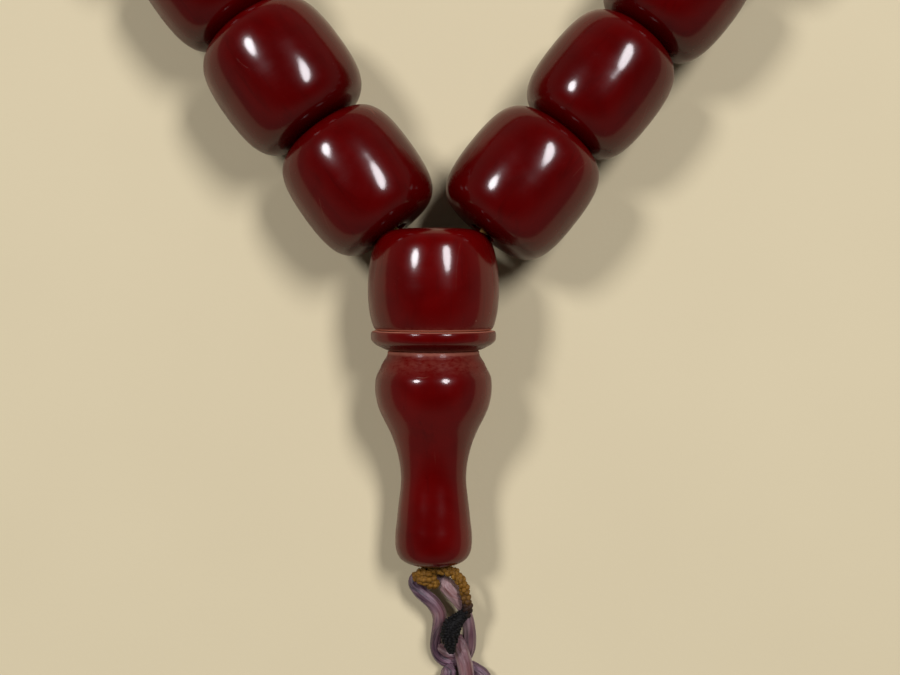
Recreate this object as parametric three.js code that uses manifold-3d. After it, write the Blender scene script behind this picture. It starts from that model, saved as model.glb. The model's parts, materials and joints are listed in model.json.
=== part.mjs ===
// Prayer beads (misbaha): 33 barrel beads and two divider discs on a cord loop, closed by a
// turned leader, with a knotted tail cord and a tassel. Millimetres, +Z up.
// The loop lies flat on Z = 0; the leader points along -Y and the top of the loop is at +Y.

import * as THREE from 'three';
import * as BufferGeometryUtils from 'three/addons/utils/BufferGeometryUtils.js';
import Module from 'manifold-3d';

const wasm = await Module();
wasm.setup();

// ---- driving dimensions ----

const BEAD_COUNT = 33;
const BEAD_DIAMETER = 21.6;
const BEAD_LENGTH = 20.3;
const BEAD_DIAMETER_SPREAD = 0.5;
const BEAD_LENGTH_SPREAD = 0.5;
// Radians from one bead to the next in the waves that spread the sizes.
const DIAMETER_WAVE = 2.1;
const LENGTH_WAVE = 1.7;
// Hand-turned beads differ; the four next to the leader differ the most.
const LEADER_SIDE_BEADS = {
  1: { diameter: 21.7, length: 20.2 },
  2: { diameter: 23.1, length: 20.8 },
  32: { diameter: 21.0, length: 20.3 },
  33: { diameter: 22.1, length: 20.4 },
};
const BORE_RADIUS = 1.9;
// Barrel outline: a superellipse sampled at these fractions of the half length.
const BARREL_POWER = 3.2;
const BARREL_STATIONS = [0.7, 0.92];
const BARREL_BAND = 0.35;
const BARREL_END_RADIUS = 0.42;

const DIVIDER_AFTER = [11, 22];
const DIVIDER_DIAMETER = 15;
const DIVIDER_LENGTH = 5;

const STRAND_ANGLE = THREE.MathUtils.degToRad(37);
const FIRST_FACE = 12;
const STRAIGHT_BEADS = 6;
const STRAIGHT_GAP = 0.4;
const ARC_GAP = 0.9;
// The bare cord that lets beads be told off one by one lies round the three top beads.
const SLACK_GAP = 6;
const SLIDING_BEADS = [16, 17, 18];
const SLACK_BEND_INSET = 1.5;

const CORD_RADIUS = 0.8;
const CORD_HEIGHT = 10.8;
const CORD_END_GAP = 0.15;
const STRAND_END = 2.7;
// The bead nearest the top of the loop on each length of cord, counted from the leader.
const SEGMENT_TOP_BEADS = [15, 12, 8, 6];

// The leader hangs a little askew: its axis is turned and stands beside the point where the
// strands meet.
const LEADER_TURN = THREE.MathUtils.degToRad(1.2);
const LEADER_OFFSET = [-0.65, 0.4];
// Levels are along the leader's axis, up from its origin.
const HEAD_RADIUS = 10.35;
const HEAD_TOP = 9.4;
const HEAD_BOTTOM = -6.6;
const COLLAR_RADIUS = 10.05;
const COLLAR_TOP = -6.9;
const COLLAR_BOTTOM = -9.8;
const COLLAR_CONTACT = -8.6;
const BODY_TOP = -10.1;
const FOOT_RADIUS = 6.2;
const FOOT_LEVEL = -41;
const BODY_BOTTOM = -44.6;
const LEADER_CORD_RADIUS = 1.3;
const LEADER_CORD_TOP = -1.6;

// Places under the leader's foot: [across, along] from the leader's origin, square to its axis.
const KNOT_LEVEL = -46.9;
const KNOT_HEIGHT = 5;
const KNOT_LOBE = { centre: [-0.9, 0, 0], radii: [2.9, 1.8, 1.7] };
const KNOT_LIMB = [
  [0, 0.2],
  [2.4, 0.1],
  [4.6, -1.7],
  [5.4, -4.2],
];
const KNOT_LIMB_RADIUS = 1.2;
const BURNT_END_LEVEL = -58.4;
const BURNT_END_ACROSS = 3.2;
const BURNT_END_RADII = [2.1, 3.3, 1.7];
const TAIL_CORD_RADIUS = 1.15;
const TAIL_LOOP_HEIGHT = 1.6;
const TAIL_PIVOT = [0.5, -47.2];
const TAIL_LOOP = [
  [-0.4, -46.4],
  [-3.2, -47.0],
  [-2.1, -49.1],
  [-0.3, -51.2],
  [0.4, -54.0],
  [0.4, -58.2],
  [2.6, -60.3],
  [5.2, -58.6],
  [5.8, -54.6],
  [4.6, -50.2],
  [2.6, -47.8],
];
const CHAIN_WIDTH = 6.8;
const CHAIN_THICKNESS = 4.6;
const CHAIN_TOP = -62.2;
const CHAIN_BOTTOM = -122;
const CHAIN_ACROSS = 3.4;
const CHAIN_SWAY = [0, 0.5, -0.5, 0];
const END_KNOT_RADIUS = 4.2;
const TASSEL_LENGTH = 46;
const TASSEL_NECK_RADIUS = 3.4;
const TASSEL_SKIRT_RADIUS = 6.4;
const TASSEL_FLATNESS = 0.62;
// The gap left between two pieces that touch.
const PIECE_GAP = 0.4;

const BEAD_SIDES = 16;
const LEADER_SIDES = 20;
const CORD_SIDES = 8;
const TOP_CORD_STEPS = 12;
const BORE_SIDES = 12;
const BALL_RINGS = 8;

// ---- materials ----

const resin = { color: 0x5a0508, roughness: 0.14, metalness: 0 };
const leaderResin = { color: 0x6c070b, roughness: 0.16, metalness: 0 };
const thread = { color: 0xb98a2c, roughness: 0.85, metalness: 0 };
const burntThread = { color: 0x17100c, roughness: 0.9, metalness: 0 };
const satin = { color: 0x6d4a6a, roughness: 0.55, metalness: 0 };

function material(look) {
  return new THREE.MeshStandardMaterial(look);
}

const group = new THREE.Group();

function addPiece(name, geometry, look) {
  const mesh = new THREE.Mesh(geometry, material(look));
  mesh.name = name;
  group.add(mesh);
  return mesh;
}

// ---- shared shapes ----

// A body of revolution about local Y whose flat facets are tangent to the true round surface,
// one facet facing straight down, so it rests on its stated radius.
function turned(points, sides) {
  const grow = 1 / Math.cos(Math.PI / sides);
  const profile = points.map(([radius, level]) => new THREE.Vector2(radius * grow, level));
  return new THREE.LatheGeometry(profile, sides, Math.PI / sides);
}

function bored(outline, boreRadius) {
  const first = [boreRadius, outline[0][1]];
  const last = [boreRadius, outline[outline.length - 1][1]];
  return [first, ...outline, last, first];
}

function barrelOutline(radius, halfLength) {
  const half = [[radius, BARREL_BAND * halfLength]];
  for (const station of BARREL_STATIONS) {
    const share = (1 - station ** BARREL_POWER) ** (1 / BARREL_POWER);
    half.push([share * radius, station * halfLength]);
  }
  half.push([BARREL_END_RADIUS * radius, halfLength]);
  const mirrored = half.map(([r, level]) => [r, -level]).reverse();
  return [...mirrored, ...half];
}

function circleShape(radius, sides, stretch = 1) {
  const corners = [];
  for (let i = 0; i < sides; i += 1) {
    const angle = (2 * Math.PI * (i + 0.5)) / sides;
    corners.push(new THREE.Vector2(radius * Math.cos(angle), radius * stretch * Math.sin(angle)));
  }
  return new THREE.Shape(corners);
}

function tube(points, radius, steps) {
  const path = new THREE.CatmullRomCurve3(points, false, 'centripetal');
  return new THREE.ExtrudeGeometry(circleShape(radius, CORD_SIDES), { steps, extrudePath: path });
}

function toSolid(geometry) {
  const bare = geometry.clone();
  bare.deleteAttribute('normal');
  bare.deleteAttribute('uv');
  const merged = BufferGeometryUtils.mergeVertices(bare, 1e-4);
  const mesh = new wasm.Mesh({
    numProp: 3,
    vertProperties: Float32Array.from(merged.attributes.position.array),
    triVerts: Uint32Array.from(merged.index.array),
  });
  return new wasm.Manifold(mesh);
}

function toGeometry(solid) {
  const mesh = solid.getMesh();
  const geometry = new THREE.BufferGeometry();
  geometry.setAttribute('position', new THREE.BufferAttribute(mesh.vertProperties, 3));
  geometry.setIndex(new THREE.BufferAttribute(mesh.triVerts, 1));
  return geometry;
}

// ---- the order of the string ----

function countToLeader(number) {
  return Math.min(number, BEAD_COUNT + 1 - number);
}

function beadSize(number) {
  if (LEADER_SIDE_BEADS[number]) return LEADER_SIDE_BEADS[number];
  const count = countToLeader(number);
  return {
    diameter: BEAD_DIAMETER + BEAD_DIAMETER_SPREAD * Math.sin(DIAMETER_WAVE * count),
    length: BEAD_LENGTH + BEAD_LENGTH_SPREAD * Math.cos(LENGTH_WAVE * count),
  };
}

// The space before bead `number`, counted from bead `number - 1`.
function gapBefore(number) {
  const beside = [number - 1, number];
  if (beside.some((n) => SLIDING_BEADS.includes(n))) return SLACK_GAP;
  if (beside.every((n) => countToLeader(n) <= STRAIGHT_BEADS)) return STRAIGHT_GAP;
  return ARC_GAP;
}

// Every threaded piece from the leader's left side round to its right side, with its place
// along the cord measured from the point where the two strands meet.
function threadOrder() {
  const pieces = [];
  let along = FIRST_FACE;
  const place = (name, number, size) => {
    pieces.push({ name, number, ...size, along: along + size.length / 2 });
    along += size.length;
  };
  for (let number = 1; number <= BEAD_COUNT; number += 1) {
    if (number > 1) along += gapBefore(number);
    place(`bead_${String(number).padStart(2, '0')}`, number, beadSize(number));
    if (DIVIDER_AFTER.includes(number)) {
      along += ARC_GAP;
      const side = number === DIVIDER_AFTER[0] ? 'left' : 'right';
      place(`divider_${side}`, null, { diameter: DIVIDER_DIAMETER, length: DIVIDER_LENGTH });
    }
  }
  return { pieces, total: along + FIRST_FACE };
}

const string = threadOrder();

// ---- the route: two straight strands tangent to one round arc ----

const arcAngle = Math.PI + 2 * STRAND_ANGLE;
const loopRadius = string.total / (2 / Math.tan(STRAND_ANGLE) + arcAngle);
const strandLength = loopRadius / Math.tan(STRAND_ANGLE);
const arcCentreFromJunction = loopRadius / Math.sin(STRAND_ANGLE);

// The leader rests on its collar and its foot, so its axis slopes down towards the foot.
const leaderTilt = Math.asin((COLLAR_RADIUS - FOOT_RADIUS) / (COLLAR_CONTACT - FOOT_LEVEL));
const junctionHeight = COLLAR_RADIUS * Math.cos(leaderTilt) - COLLAR_CONTACT * Math.sin(leaderTilt);

// The origin is under the middle of the string, leader and thread knot, without the tail cord.
const stringTop = arcCentreFromJunction + loopRadius + BEAD_DIAMETER / 2;
const junction = new THREE.Vector3(0, -(stringTop + BURNT_END_LEVEL) / 2, junctionHeight);

const leaderOrigin = junction.clone().add(new THREE.Vector3(...LEADER_OFFSET, 0));

// A point of the route and its heading, as the turn from +Y about Z.
function routeAt(along) {
  const onArc = (along - strandLength) / loopRadius;
  let heading = STRAND_ANGLE - onArc;
  let x;
  let y;
  if (onArc >= 0 && onArc <= arcAngle) {
    x = -loopRadius * Math.cos(heading);
    y = arcCentreFromJunction - loopRadius * Math.sin(heading);
  } else {
    const reach = onArc < 0 ? along : string.total - along;
    const side = onArc < 0 ? -1 : 1;
    heading = onArc < 0 ? STRAND_ANGLE : STRAND_ANGLE - arcAngle;
    x = side * reach * Math.sin(STRAND_ANGLE);
    y = reach * Math.cos(STRAND_ANGLE);
  }
  return { x, y: y + junction.y, heading };
}

// ---- beads and dividers ----

for (const piece of string.pieces) {
  const radius = piece.diameter / 2;
  const outline = barrelOutline(radius, piece.length / 2);
  const place = routeAt(piece.along);
  const restHeight = piece.number === null ? CORD_HEIGHT : radius;
  const mesh = addPiece(piece.name, turned(bored(outline, BORE_RADIUS), BEAD_SIDES), resin);
  mesh.position.set(place.x, place.y, restHeight);
  mesh.rotation.z = place.heading;
}

// ---- the loop cord: straight inside each bead, turning in the gaps between them ----

function boreEnds(piece) {
  const { x, y, heading } = routeAt(piece.along);
  return [-1, 1].map((end) => {
    const reach = (end * piece.length) / 2;
    return new THREE.Vector3(x - reach * Math.sin(heading), y + reach * Math.cos(heading), CORD_HEIGHT);
  });
}

const SIDES = { left: -1, right: 1 };

// A divider counts as half a place above the bead below it.
function placeOnSide(piece) {
  return piece.number === null ? DIVIDER_AFTER[0] + 0.5 : countToLeader(piece.number);
}

// The pieces on one side of the loop, from the top of the loop down to the leader, each with
// its upper and lower bore end.
function sidePieces(side) {
  const middle = string.total / 2;
  const chosen = string.pieces.filter((piece) => Math.sign(piece.along - middle) === side);
  const downwards = side < 0 ? chosen.reverse() : chosen;
  return downwards.map((piece) => {
    const ends = boreEnds(piece);
    const [upper, lower] = side < 0 ? ends.reverse() : ends;
    return { piece, count: placeOnSide(piece), upper, lower };
  });
}

// Where the cord bends in the gap above bead `top`. Beside the slack it bends in the bare cord.
function bendPoint(side, pieces, top) {
  const below = pieces.find(({ count }) => count <= top);
  if (SLIDING_BEADS.includes(top + 1)) {
    const { x, y } = routeAt(below.piece.along + side * (-below.piece.length / 2 - SLACK_BEND_INSET));
    return new THREE.Vector3(x, y, CORD_HEIGHT);
  }
  const above = pieces.filter(({ count }) => count > top).pop();
  return below.upper.clone().lerp(above.lower, 0.5);
}

function strandEnd(side) {
  const x = side * STRAND_END * Math.sin(STRAND_ANGLE);
  return new THREE.Vector3(x, junction.y + STRAND_END * Math.cos(STRAND_ANGLE), CORD_HEIGHT);
}

// A run of cord is pulled back a little at both ends, so its neighbours' faces stay clear.
function shortened(points) {
  const pull = (end, next) => end.clone().lerp(next, CORD_END_GAP / end.distanceTo(next));
  const inner = points.slice(1, -1);
  return [pull(points[0], points[1]), ...inner, pull(points.at(-1), points.at(-2))];
}

function localTo(anchor, points) {
  return points.map((point) => point.clone().sub(anchor));
}

function addCord(name, points, anchor) {
  const run = localTo(anchor, shortened(points));
  addPiece(name, tube(run, CORD_RADIUS, points.length - 1), thread).position.copy(anchor);
}

const topBends = [];
for (const [sideName, side] of Object.entries(SIDES)) {
  const pieces = sidePieces(side);
  const bends = SEGMENT_TOP_BEADS.map((top) => bendPoint(side, pieces, top));
  topBends.push(bends[0]);
  SEGMENT_TOP_BEADS.forEach((top, i) => {
    const nextTop = SEGMENT_TOP_BEADS[i + 1] ?? 0;
    const carried = pieces.filter(({ count }) => count <= top && count > nextTop);
    const inner = carried.flatMap(({ upper, lower }) => [upper, lower]);
    const end = bends[i + 1] ?? strandEnd(side);
    addCord(`cord_${sideName}_${i + 1}`, [bends[i], ...inner, end], bends[i]);
  });
}

// The sliding beads share one round run of cord at the top of the loop.
const arcCentre = new THREE.Vector3(0, junction.y + arcCentreFromJunction, CORD_HEIGHT);
const topStart = Math.atan2(topBends[0].y - arcCentre.y, topBends[0].x);
const topTurn = Math.PI - 2 * topStart;
const topPoints = Array.from({ length: TOP_CORD_STEPS + 1 }, (_, i) => {
  const angle = topStart + (i / TOP_CORD_STEPS) * topTurn;
  return new THREE.Vector3(loopRadius * Math.cos(angle), loopRadius * Math.sin(angle), 0).add(arcCentre);
});
addCord('cord_top', topPoints, arcCentre);

// ---- the leader ----

const leaderRotation = new THREE.Euler(leaderTilt, 0, LEADER_TURN, 'ZYX');

function boreTool(radius, from, direction, length) {
  const geometry = new THREE.CylinderGeometry(radius, radius, length, BORE_SIDES);
  geometry.translate(0, length / 2, 0);
  const turn = new THREE.Quaternion().setFromUnitVectors(new THREE.Vector3(0, 1, 0), direction);
  geometry.applyQuaternion(turn);
  geometry.translate(from.x, from.y, from.z);
  return toSolid(geometry);
}

// The head is bored like a Y: each strand enters through a shoulder and both leave below.
function headGeometry() {
  const halfLength = (HEAD_TOP - HEAD_BOTTOM) / 2;
  const outline = barrelOutline(HEAD_RADIUS, halfLength);
  const profile = [[0, -halfLength], ...outline, [0, halfLength]];
  const barrel = turned(profile, LEADER_SIDES);
  barrel.translate(0, HEAD_BOTTOM + halfLength, 0);
  barrel.rotateX(leaderTilt);
  barrel.rotateZ(LEADER_TURN);
  const barrelPlace = new THREE.Vector3(...LEADER_OFFSET, 0);
  barrel.translate(...barrelPlace);
  const boreLength = 2 * HEAD_TOP;
  const strandLevel = new THREE.Vector3(0, 0, CORD_HEIGHT - junction.z);
  const down = new THREE.Vector3(0, -1, 0).applyEuler(leaderRotation);
  let head = toSolid(barrel).subtract(boreTool(BORE_RADIUS, barrelPlace, down, boreLength));
  for (const side of Object.values(SIDES)) {
    const outward = new THREE.Vector3(side * Math.sin(STRAND_ANGLE), Math.cos(STRAND_ANGLE), 0);
    head = head.subtract(boreTool(BORE_RADIUS, strandLevel, outward, boreLength));
  }
  return toGeometry(head);
}

const COLLAR_OUTLINE = [
  [8.7, COLLAR_BOTTOM],
  [COLLAR_RADIUS, COLLAR_CONTACT],
  [COLLAR_RADIUS, -7.5],
  [9.7, COLLAR_TOP],
];

const BODY_OUTLINE = [
  [3.6, BODY_BOTTOM],
  [5.0, -43.7],
  [5.9, -42.6],
  [FOOT_RADIUS, FOOT_LEVEL],
  [5.9, -37],
  [5.3, -31.5],
  [5.6, -27.5],
  [6.6, -23.7],
  [8.2, -20.6],
  [9.3, -17.6],
  [9.3, -15.6],
  [8.6, -13],
  [7.4, -11],
  [7.5, BODY_TOP],
];

function addTurnedOnLeader(name, outline) {
  const mesh = addPiece(name, turned(bored(outline, BORE_RADIUS), LEADER_SIDES), leaderResin);
  mesh.position.copy(leaderOrigin);
  mesh.rotation.copy(leaderRotation);
}

addPiece('leader_head', headGeometry(), leaderResin).position.copy(junction);
addTurnedOnLeader('leader_collar', COLLAR_OUTLINE);
addTurnedOnLeader('leader_body', BODY_OUTLINE);

const leaderCordEnds = [LEADER_CORD_TOP, BODY_BOTTOM].map((level) => new THREE.Vector3(0, level, 0));
const leaderCord = addPiece('leader_cord', tube(leaderCordEnds, LEADER_CORD_RADIUS, 1), thread);
leaderCord.position.copy(leaderOrigin);
leaderCord.rotation.copy(leaderRotation);

// ---- the thread knot under the foot, its burnt end, the tail cord and the tassel ----

const uprightTurn = new THREE.Euler(0, 0, LEADER_TURN);

// Across and along are from the leader's origin; height is above the surface.
function besideLeader([across, along], height) {
  const place = new THREE.Vector3(across, along, 0).applyEuler(uprightTurn);
  return new THREE.Vector3(leaderOrigin.x + place.x, leaderOrigin.y + place.y, height);
}

function addUnderLeader(name, geometry, look, place) {
  const mesh = addPiece(name, geometry, look);
  mesh.position.copy(place);
  mesh.rotation.copy(uprightTurn);
}

function ellipsoid(centre, radii) {
  const ball = new THREE.SphereGeometry(1, BORE_SIDES, BALL_RINGS);
  ball.rotateX(Math.PI / 2);
  ball.scale(...radii);
  ball.translate(...centre);
  return ball;
}

// The thread is tied in a lobe under the foot, and its free end hangs from it as a limb.
const knotLobe = ellipsoid(KNOT_LOBE.centre, KNOT_LOBE.radii);
const limbRoute = KNOT_LIMB.map(([across, along]) => new THREE.Vector3(across, along, 0));
const knotLimb = tube(limbRoute, KNOT_LIMB_RADIUS, 6);
const knotGeometry = toGeometry(toSolid(knotLobe).add(toSolid(knotLimb)));
addUnderLeader('thread_knot', knotGeometry, thread, besideLeader([0, KNOT_LEVEL], KNOT_HEIGHT));

const burntAlong = BURNT_END_LEVEL + BURNT_END_RADII[1];
const burntGeometry = ellipsoid([0, 0, 0], BURNT_END_RADII);
const burntPlace = besideLeader([BURNT_END_ACROSS, burntAlong], KNOT_HEIGHT);
addUnderLeader('burnt_thread_end', burntGeometry, burntThread, burntPlace);

// The tail cord's loop hangs in the thread knot and swings about it.
const tailPivot = besideLeader(TAIL_PIVOT, TAIL_LOOP_HEIGHT);
const loopRoute = TAIL_LOOP.map((place) => besideLeader(place, TAIL_LOOP_HEIGHT));
const tailLoop = tube(localTo(tailPivot, loopRoute), TAIL_CORD_RADIUS, 18);
addPiece('tail_loop', tailLoop, satin).position.copy(tailPivot);

const chainRoute = [0, 1 / 3, 2 / 3, 1].map((share, i) => {
  const along = CHAIN_TOP + share * (CHAIN_BOTTOM - CHAIN_TOP);
  return besideLeader([CHAIN_ACROSS + CHAIN_SWAY[i], along], CHAIN_THICKNESS / 2);
});
const chainPath = new THREE.CatmullRomCurve3(chainRoute, false, 'centripetal');
const chainSection = circleShape(CHAIN_THICKNESS / 2, CORD_SIDES, CHAIN_WIDTH / CHAIN_THICKNESS);
addPiece('tail_chain', new THREE.ExtrudeGeometry(chainSection, { steps: 8, extrudePath: chainPath }), satin);

const endKnotAlong = CHAIN_BOTTOM - PIECE_GAP - END_KNOT_RADIUS;
const endKnotPlace = besideLeader([CHAIN_ACROSS, endKnotAlong], END_KNOT_RADIUS);
const endKnot = ellipsoid([0, 0, 0], [END_KNOT_RADIUS, END_KNOT_RADIUS, END_KNOT_RADIUS]);
addUnderLeader('end_knot', endKnot, satin, endKnotPlace);

const tasselOutline = [
  [0, -TASSEL_LENGTH],
  [TASSEL_SKIRT_RADIUS, -TASSEL_LENGTH],
  [0.9 * TASSEL_SKIRT_RADIUS, -0.5 * TASSEL_LENGTH],
  [1.5 * TASSEL_NECK_RADIUS, -0.2 * TASSEL_LENGTH],
  [TASSEL_NECK_RADIUS, 0],
  [0, 0],
];
const tasselGeometry = turned(tasselOutline, BORE_SIDES);
tasselGeometry.scale(1, 1, TASSEL_FLATNESS);
const tasselAlong = endKnotAlong - END_KNOT_RADIUS - PIECE_GAP;
const tasselPlace = besideLeader([CHAIN_ACROSS, tasselAlong], TASSEL_SKIRT_RADIUS * TASSEL_FLATNESS);
addUnderLeader('tassel', tasselGeometry, satin, tasselPlace);

export default group;
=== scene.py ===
"""Prayer beads (misbaha) on a pale table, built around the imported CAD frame.

Shapes are worked out in millimetres and turned to metres when a mesh is made. The strands of the
loop meet inside the leader's head, and the leader points along -Y from there.
"""

import json
import math

import bmesh
import bpy
import numpy as np
from mathutils import Matrix, Vector

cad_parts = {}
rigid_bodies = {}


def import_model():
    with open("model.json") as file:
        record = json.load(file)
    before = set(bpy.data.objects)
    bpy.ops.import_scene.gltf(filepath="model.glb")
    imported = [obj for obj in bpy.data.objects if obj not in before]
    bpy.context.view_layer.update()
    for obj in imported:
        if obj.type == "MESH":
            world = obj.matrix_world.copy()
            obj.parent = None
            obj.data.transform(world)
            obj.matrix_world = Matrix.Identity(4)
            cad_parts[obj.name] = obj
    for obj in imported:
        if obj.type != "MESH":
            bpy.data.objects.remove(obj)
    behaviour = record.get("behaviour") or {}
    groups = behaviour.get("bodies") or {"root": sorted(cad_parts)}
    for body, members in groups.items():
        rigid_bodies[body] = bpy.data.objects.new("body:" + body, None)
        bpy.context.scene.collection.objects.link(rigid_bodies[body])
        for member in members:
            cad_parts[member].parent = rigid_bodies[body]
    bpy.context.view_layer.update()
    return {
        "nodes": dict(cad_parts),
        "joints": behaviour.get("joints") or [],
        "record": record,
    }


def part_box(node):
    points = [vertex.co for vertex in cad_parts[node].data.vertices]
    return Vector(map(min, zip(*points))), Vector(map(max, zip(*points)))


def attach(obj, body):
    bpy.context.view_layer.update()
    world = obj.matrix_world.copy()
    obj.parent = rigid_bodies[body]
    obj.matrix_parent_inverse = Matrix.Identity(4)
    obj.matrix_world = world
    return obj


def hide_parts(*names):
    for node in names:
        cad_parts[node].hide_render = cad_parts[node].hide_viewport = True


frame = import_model()
scene = bpy.context.scene
joints = {joint["name"]: joint for joint in frame["joints"]}
joint_of_body = {joint["child"]: joint for joint in frame["joints"]}
nodes_of_body = frame["record"]["behaviour"]["bodies"]
body_of_node = {node: body for body, nodes in nodes_of_body.items() for node in nodes}

MM = 0.001
UP = np.array([0.0, 0.0, 1.0])

# ---- places that the frame gives, in millimetres ----


def pivot(joint):
    return np.array(joint["pos_m"], float) / MM


def axis_of(joint):
    axis = np.array(joint["axis"], float)
    return axis / np.linalg.norm(axis)


LEADER_ORIGIN = pivot(joints["leader_body_spin"])
LEADER_AXIS = axis_of(joints["leader_body_spin"])
LEADER_TURN = math.atan2(-LEADER_AXIS[0], LEADER_AXIS[1])
MEETING_POINT = pivot(joints["leader_level"])
FIRST_BEADS = {"left": "bead_01", "right": "bead_33"}
ARC_CENTRE = pivot(joints["bead_17_slide"])
STRAND_HEIGHT = ARC_CENTRE[2]


def beside_leader(across, along, height):
    """A point square to the leader's axis, with its height above the table."""
    cos, sin = math.cos(LEADER_TURN), math.sin(LEADER_TURN)
    x = LEADER_ORIGIN[0] + across * cos - along * sin
    y = LEADER_ORIGIN[1] + across * sin + along * cos
    return np.array([x, y, height])


def seen_from_leader(point):
    """The same three numbers for a point given in the model's frame."""
    cos, sin = math.cos(LEADER_TURN), math.sin(LEADER_TURN)
    x, y = point[0] - LEADER_ORIGIN[0], point[1] - LEADER_ORIGIN[1]
    return x * cos + y * sin, y * cos - x * sin, point[2]


# ---- camera: above, looking down on the leader and a little up along it ----

# The point looked at: across and along from the leader's origin, square to its axis.
CAMERA_AIM = (2.66, -7.98)
CAMERA_LEAN = math.radians(4.5)
CAMERA_DISTANCE = 205.0
FRAME_WIDTH = 144.5
SENSOR_WIDTH = 36.0

camera_data = bpy.data.cameras.new("camera")
camera_data.sensor_width = SENSOR_WIDTH
camera_data.lens = SENSOR_WIDTH * CAMERA_DISTANCE / FRAME_WIDTH
camera_data.clip_start = 10 * MM
camera = bpy.data.objects.new("camera", camera_data)
camera_along = CAMERA_AIM[1] - CAMERA_DISTANCE * math.sin(CAMERA_LEAN)
camera_height = STRAND_HEIGHT + CAMERA_DISTANCE * math.cos(CAMERA_LEAN)
camera.location = Vector(beside_leader(CAMERA_AIM[0], camera_along, camera_height)) * MM
camera.rotation_euler = (CAMERA_LEAN, 0.0, LEADER_TURN)
scene.collection.objects.link(camera)
scene.camera = camera

# ---- shared shape tools ----


def grid_faces(rings, sides, closed=False):
    """Quads between neighbouring rings of points; closed joins the last ring to the first."""
    ring = np.arange(rings if closed else rings - 1)[:, None]
    side = np.arange(sides)[None, :]
    here = ring * sides
    there = ((ring + 1) % rings) * sides
    turn = (side + 1) % sides
    quads = np.stack([here + side, here + turn, there + turn, there + side], axis=-1)
    return quads.reshape(-1, 4).tolist()


def capped_faces(rings, sides):
    """The same quads, and a fan round each of two last points that close the ends."""
    faces = grid_faces(rings, sides)
    first, last, tail = rings * sides, rings * sides + 1, (rings - 1) * sides
    for k in range(sides):
        nxt = (k + 1) % sides
        faces.append([first, nxt, k])
        faces.append([last, tail + k, tail + nxt])
    return faces


class Shape:
    """Points, faces and point attributes gathered into one mesh."""

    def __init__(self):
        self.points, self.faces, self.layers, self.count = [], [], {}, 0

    def add(self, points, faces, **layers):
        self.points.append(np.asarray(points, float))
        self.faces += [[index + self.count for index in face] for face in faces]
        for name, values in layers.items():
            self.layers.setdefault(name, []).append(np.asarray(values, np.float32))
        self.count += len(points)

    def build(self, name, material, body, matrix=None):
        """Makes the Blender object, outward facing and smooth, and rides it on a body."""
        mesh = bpy.data.meshes.new(name)
        mesh.from_pydata((np.concatenate(self.points) * MM).tolist(), [], self.faces)
        for key, parts in self.layers.items():
            values = np.concatenate(parts)
            plain = values.ndim == 1
            layer = mesh.attributes.new(key, "FLOAT" if plain else "FLOAT_VECTOR", "POINT")
            layer.data.foreach_set("value" if plain else "vector", values.ravel())
        shell = bmesh.new()
        shell.from_mesh(mesh)
        bmesh.ops.recalc_face_normals(shell, faces=shell.faces)
        shell.to_mesh(mesh)
        shell.free()
        mesh.shade_smooth()
        mesh.materials.append(material)
        piece = bpy.data.objects.new(name, mesh)
        scene.collection.objects.link(piece)
        if matrix is not None:
            piece.matrix_world = matrix
        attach(piece, body)
        return piece


def direction_frames(route):
    """Tangents and two cross directions along a route, turning as little as they can."""
    tangents = np.gradient(route, axis=0)
    tangents /= np.linalg.norm(tangents, axis=1)[:, None]
    side = np.cross(tangents[0], UP)
    if np.linalg.norm(side) < 1e-3:
        side = np.cross(tangents[0], [1.0, 0.0, 0.0])
    sides = []
    for tangent in tangents:
        side = side - tangent * (side @ tangent)
        side = side / np.linalg.norm(side)
        sides.append(side)
    sides = np.array(sides)
    return tangents, sides, np.cross(tangents, sides)


def lengths_along(route):
    steps = np.linalg.norm(np.diff(route, axis=0), axis=1)
    return np.concatenate([[0.0], np.cumsum(steps)])


def resampled(route, step):
    along = lengths_along(route)
    count = max(3, int(round(along[-1] / step)) + 1)
    wanted = np.linspace(0, along[-1], count)
    return np.stack([np.interp(wanted, along, route[:, k]) for k in range(3)], axis=1)


SAMPLES_BETWEEN_POINTS = 16


def curve_through(points, step):
    """A centripetal Catmull-Rom curve through the points, at even steps."""
    points = np.asarray(points, float)
    ends = [2 * points[0] - points[1], 2 * points[-1] - points[-2]]
    p = np.concatenate([[ends[0]], points, [ends[1]]])
    gaps = np.sqrt(np.linalg.norm(np.diff(p, axis=0), axis=1)) + 1e-6
    knots = np.concatenate([[0.0], np.cumsum(gaps)])
    pieces = []
    for i in range(1, len(p) - 2):
        t0, t1, t2, t3 = knots[i - 1 : i + 3]
        t = np.linspace(t1, t2, SAMPLES_BETWEEN_POINTS, endpoint=False)[:, None]
        a1 = (t1 - t) / (t1 - t0) * p[i - 1] + (t - t0) / (t1 - t0) * p[i]
        a2 = (t2 - t) / (t2 - t1) * p[i] + (t - t1) / (t2 - t1) * p[i + 1]
        a3 = (t3 - t) / (t3 - t2) * p[i + 1] + (t - t2) / (t3 - t2) * p[i + 2]
        b1 = (t2 - t) / (t2 - t0) * a1 + (t - t0) / (t2 - t0) * a2
        b2 = (t3 - t) / (t3 - t1) * a2 + (t - t1) / (t3 - t1) * a3
        pieces.append((t2 - t) / (t2 - t1) * b1 + (t - t1) / (t2 - t1) * b2)
    return resampled(np.concatenate(pieces + [points[-1:]]), step)


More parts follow.
